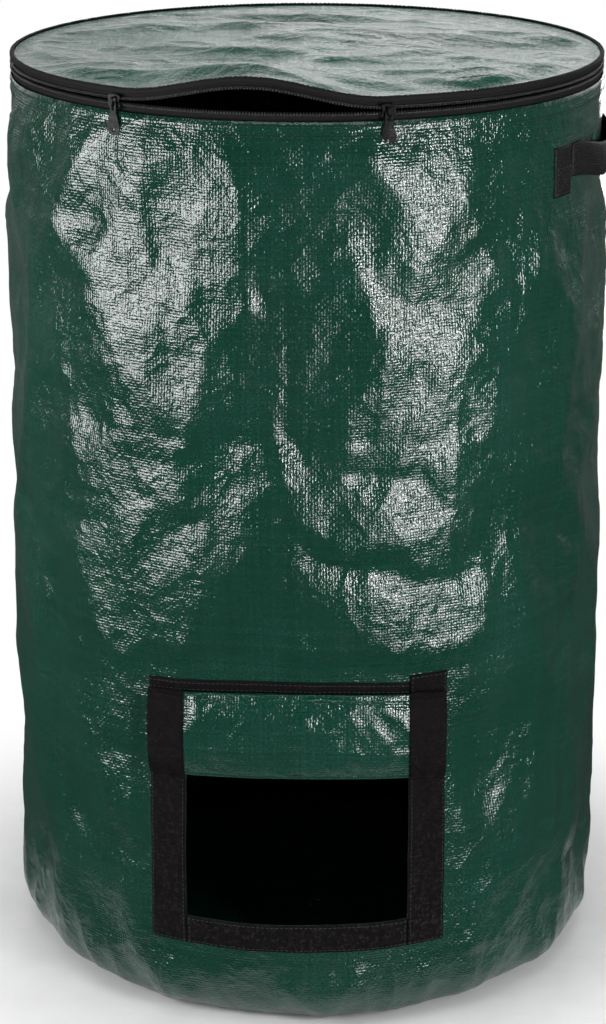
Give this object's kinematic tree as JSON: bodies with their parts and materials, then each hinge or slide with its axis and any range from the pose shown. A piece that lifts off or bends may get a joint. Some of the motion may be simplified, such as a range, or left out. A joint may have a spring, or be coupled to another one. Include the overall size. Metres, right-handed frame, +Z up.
{
  "type": "garden compost bag",
  "caption": "Round woven-sheet compost bag with a zipped round lid, two zip sliders, webbing side handles and a rolled-up hook-and-loop front hatch.",
  "frame": {"origin": "centre of the flat underside, on the axis of the round bag", "axes": "+Z up along the axis of the bag; -Y is the front, where the hatch is; +X is the right-hand side seen from the front"},
  "size_m": [0.4646, 0.4688, 0.7316],
  "materials": {
    "green_sheet": "glossy laminated woven polyethylene",
    "edge_binding": "dark folded binding tape",
    "zip_tape": "black knitted zip tape",
    "zip_coil": "black nylon coil",
    "slider_metal": "black lacquered die-cast metal",
    "hook_tape": "black hook-and-loop tape",
    "webbing": "black polypropylene webbing"
  },
  "bodies": {
    "bag": {"body_wall": "green_sheet", "back_seam": "green_sheet", "base_panel": "green_sheet", "base_seam_binding": "edge_binding", "zip_tape_lower": "zip_tape", "zip_coil_lower": "zip_coil", "zip_end_tab_left": "zip_tape", "zip_end_tab_right": "zip_tape", "lid_back_panel": "green_sheet", "lid_back_binding": "edge_binding", "lid_back_band": "green_sheet", "hatch_tape_left": "hook_tape", "hatch_tape_right": "hook_tape", "hatch_tape_bottom": "hook_tape", "hatch_top_strip": "green_sheet", "handle_end_front_left": "webbing", "handle_end_front_right": "webbing", "handle_end_rear_left": "webbing", "handle_end_rear_right": "webbing"},
    "lid": {"lid_panel": "green_sheet", "lid_binding": "edge_binding", "zip_tape_upper": "zip_tape", "zip_coil_upper": "zip_coil"},
    "slider_left": {"slider_body_left": "slider_metal"},
    "slider_right": {"slider_body_right": "slider_metal"},
    "pull_left": {"pull_tab_left": "slider_metal"},
    "pull_right": {"pull_tab_right": "slider_metal"},
    "flap": {"hatch_flap": "green_sheet", "flap_tape_left": "hook_tape", "flap_tape_right": "hook_tape", "flap_tape_bottom": "hook_tape"},
    "handle_left": {"handle_strap_left": "webbing"},
    "handle_right": {"handle_strap_right": "webbing"}
  },
  "joints": [
    {"name": "lid_fold", "type": "hinge", "parent": "bag", "child": "lid", "pos_m": [0, 0.17236, 0.71705], "axis": [-1, 0, 0], "range_deg": [0, 165]},
    {"name": "slider_left_run", "type": "hinge", "parent": "bag", "child": "slider_left", "pos_m": [0, 0, 0.709], "axis": [0, 0, 1], "range_deg": [-92.7, 32.6]},
    {"name": "slider_right_run", "type": "hinge", "parent": "bag", "child": "slider_right", "pos_m": [0, 0, 0.709], "axis": [0, 0, 1], "range_deg": [-14.5, 110.8]},
    {"name": "pull_left_swing", "type": "hinge", "parent": "slider_left", "child": "pull_left", "pos_m": [-0.12888, -0.18893, 0.708], "axis": [-0.8261, 0.5635, 0], "range_deg": [0, 150]},
    {"name": "pull_right_swing", "type": "hinge", "parent": "slider_right", "child": "pull_right", "pos_m": [0.06381, -0.21962, 0.708], "axis": [-0.9603, -0.279, 0], "range_deg": [0, 150]},
    {"name": "flap_lift", "type": "hinge", "parent": "bag", "child": "flap", "pos_m": [0, -0.23514, 0.2715], "axis": [-1, 0, 0], "range_deg": [0, 150]},
    {"name": "handle_left_lift", "type": "hinge", "parent": "bag", "child": "handle_left", "pos_m": [-0.21081, 0.04867, 0.667], "axis": [0.225, 0.9744, 0], "range_deg": [0, 45]},
    {"name": "handle_right_lift", "type": "hinge", "parent": "bag", "child": "handle_right", "pos_m": [0.21081, -0.04867, 0.667], "axis": [-0.225, -0.9744, 0], "range_deg": [0, 45]}
  ]
}
